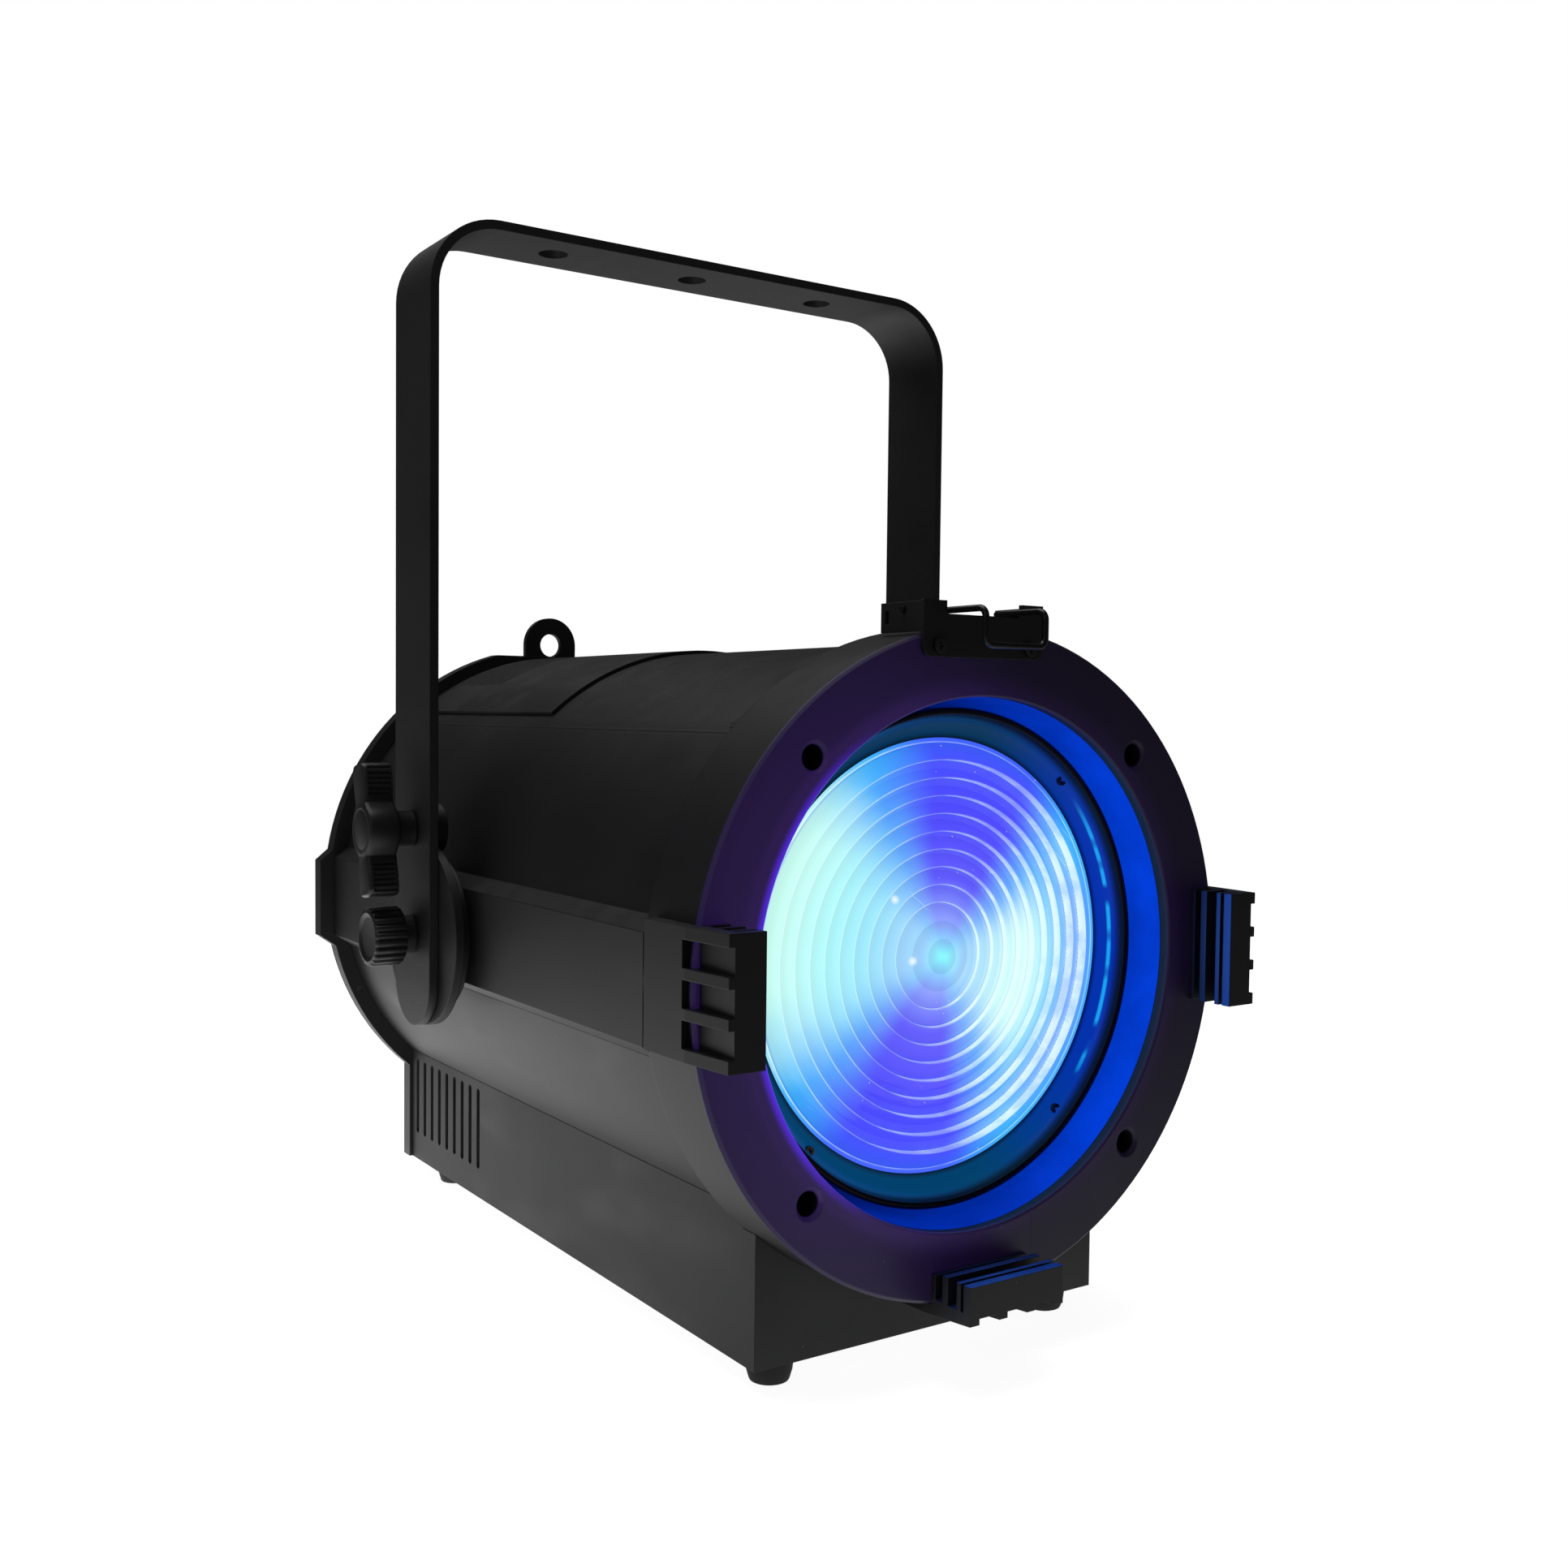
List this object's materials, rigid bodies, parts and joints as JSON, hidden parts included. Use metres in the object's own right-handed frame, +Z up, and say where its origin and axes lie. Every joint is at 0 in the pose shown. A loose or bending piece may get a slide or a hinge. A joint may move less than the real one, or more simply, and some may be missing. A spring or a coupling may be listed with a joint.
{
  "type": "fresnel spotlight",
  "caption": "Tubular LED fresnel spotlight with a stepped glass lens, bent bar tilt yoke, friction discs with lock knobs, gel-frame clips, a wire latch and a driver box on rubber feet.",
  "frame": {"origin": "centre of the overall box on the floor plane under the rubber feet", "axes": "+Z up, the lamp points along -Y, +X is the lamp's right-hand side seen from the front"},
  "size_m": [0.386, 0.473, 0.5453],
  "materials": {
    "powder_black": "satin black powder coat with a fine grain",
    "box_charcoal": "slightly lighter textured charcoal coat",
    "yoke_black": "coarse black powder coat",
    "moulded_black": "fine-grained moulded nylon",
    "disc_black": "glass-filled friction plastic",
    "knob_black": "semi-gloss moulded plastic",
    "wire_black": "glossy black lacquered wire",
    "rubber_black": "soft matt rubber",
    "sleeve_black": "satin black lining",
    "holder_black": "glossy black lacquer",
    "barrel_black": "matt black anodised",
    "lens_glass": "pressed clear glass with polished steps",
    "steel_zinc": "bright zinc plate",
    "screw_black": "black oxide",
    "brass_plain": "turned brass",
    "sheet_aluminium": "mill finish sheet",
    "sink_aluminium": "extruded and machined",
    "reflector_bright": "vapour-coated reflector",
    "board_white": "white solder mask on aluminium",
    "emitter_yellow": "phosphor under silicone",
    "fan_black": "glass-filled plastic",
    "motor_black": "black laminations and steel caps",
    "board_green": "green solder mask with parts",
    "supply_case": "folded perforated sheet",
    "panel_dark": "satin dark grey plate",
    "display_glass": "tinted acrylic window",
    "button_grey": "matt silicone keys",
    "socket_blue": "blue nylon",
    "socket_grey": "light grey nylon",
    "socket_metal": "nickel-plated shell"
  },
  "bodies": {
    "lamp": {"front_ring": "powder_black", "lens_sleeve": "sleeve_black", "front_bulkhead": "sheet_aluminium", "upper_shell": "powder_black", "side_rail_left": "powder_black", "side_rail_right": "powder_black", "lower_skirt_left": "powder_black", "lower_skirt_right": "powder_black", "vent_cover": "powder_black", "rear_cover": "powder_black", "safety_eye": "powder_black", "driver_box": "box_charcoal", "rubber_feet": "rubber_black", "foot_screws": "steel_zinc", "gel_clip_left": "moulded_black", "gel_clip_right": "moulded_black", "gel_clip_bottom": "moulded_black", "front_screws": "screw_black", "latch_bracket": "powder_black", "guide_rods": "steel_zinc", "zoom_motor": "motor_black", "rear_bulkhead": "sheet_aluminium", "led_board": "board_white", "led_emitters": "emitter_yellow", "mixing_reflector": "reflector_bright", "heat_sink": "sink_aluminium", "fan_frame": "fan_black", "fan_shroud": "sheet_aluminium", "power_supply": "supply_case", "driver_board": "board_green", "control_panel": "panel_dark", "display_window": "display_glass", "power_inlet": "socket_blue", "power_outlet": "socket_grey", "data_inlet": "socket_metal", "data_outlet": "socket_metal", "pivot_disc_left": "disc_black", "pivot_disc_right": "disc_black", "pivot_bolts": "steel_zinc", "case_screws": "screw_black"},
    "yoke": {"yoke": "yoke_black", "arm_bushes": "brass_plain", "clamp_shoes": "disc_black"},
    "lock_knob_left": {"lock_knob_left": "knob_black"},
    "lock_knob_right": {"lock_knob_right": "knob_black"},
    "pivot_knob_left": {"pivot_knob_left": "knob_black"},
    "pivot_knob_right": {"pivot_knob_right": "knob_black"},
    "latch_bail": {"latch_bail": "wire_black"},
    "lens_carriage": {"lens_holder": "holder_black", "fresnel_lens": "lens_glass", "lens_barrel": "barrel_black", "holder_screws": "screw_black", "slide_bushes": "brass_plain", "lead_nut": "brass_plain"},
    "lead_screw": {"lead_screw": "steel_zinc"},
    "fan_rotor": {"fan_rotor": "fan_black"},
    "button_1": {"button_1": "button_grey"},
    "button_2": {"button_2": "button_grey"},
    "button_3": {"button_3": "button_grey"},
    "button_4": {"button_4": "button_grey"}
  },
  "joints": [
    {"name": "yoke_tilt", "type": "hinge", "parent": "lamp", "child": "yoke", "pos_m": [0, 0.0485, 0.178], "axis": [1, 0, 0], "range_deg": [-115, 115]},
    {"name": "lock_knob_left_turn", "type": "hinge", "parent": "yoke", "child": "lock_knob_left", "pos_m": [-0.18, 0.0485, 0.233], "axis": [-1, 0, 0], "range_deg": [0, 360]},
    {"name": "lock_knob_right_turn", "type": "hinge", "parent": "yoke", "child": "lock_knob_right", "pos_m": [0.18, 0.0485, 0.233], "axis": [1, 0, 0], "range_deg": [0, 360]},
    {"name": "pivot_knob_left_turn", "type": "hinge", "parent": "lamp", "child": "pivot_knob_left", "pos_m": [-0.178, 0.0485, 0.178], "axis": [-1, 0, 0], "range_deg": [0, 720]},
    {"name": "pivot_knob_right_turn", "type": "hinge", "parent": "lamp", "child": "pivot_knob_right", "pos_m": [0.178, 0.0485, 0.178], "axis": [1, 0, 0], "range_deg": [0, 720]},
    {"name": "latch_bail_swing", "type": "hinge", "parent": "lamp", "child": "latch_bail", "pos_m": [-0.004, -0.1985, 0.3402], "axis": [-1, 0, 0], "range_deg": [0, 110]},
    {"name": "zoom_slide", "type": "slide", "parent": "lamp", "child": "lens_carriage", "axis": [0, 1, 0], "range_m": [0, 0.09]},
    {"name": "lead_screw_turn", "type": "hinge", "parent": "lamp", "child": "lead_screw", "pos_m": [-0.10825, -0.0605, 0.2465], "axis": [0, 1, 0], "range_deg": [-1, 4051]},
    {"name": "fan_spin", "type": "hinge", "parent": "lamp", "child": "fan_rotor", "pos_m": [0, 0.1365, 0.184], "axis": [0, 1, 0], "continuous": true},
    {"name": "button_1_press", "type": "slide", "parent": "lamp", "child": "button_1", "axis": [0, -1, 0], "range_m": [0, 0.0015], "stiffness_N_per_m": 400},
    {"name": "button_2_press", "type": "slide", "parent": "lamp", "child": "button_2", "axis": [0, -1, 0], "range_m": [0, 0.0015], "stiffness_N_per_m": 400},
    {"name": "button_3_press", "type": "slide", "parent": "lamp", "child": "button_3", "axis": [0, -1, 0], "range_m": [0, 0.0015], "stiffness_N_per_m": 400},
    {"name": "button_4_press", "type": "slide", "parent": "lamp", "child": "button_4", "axis": [0, -1, 0], "range_m": [0, 0.0015], "stiffness_N_per_m": 400}
  ],
  "couplings": [
    {"joint": "lead_screw_turn", "follows": "zoom_slide", "rad_per_m": 785.4}
  ]
}
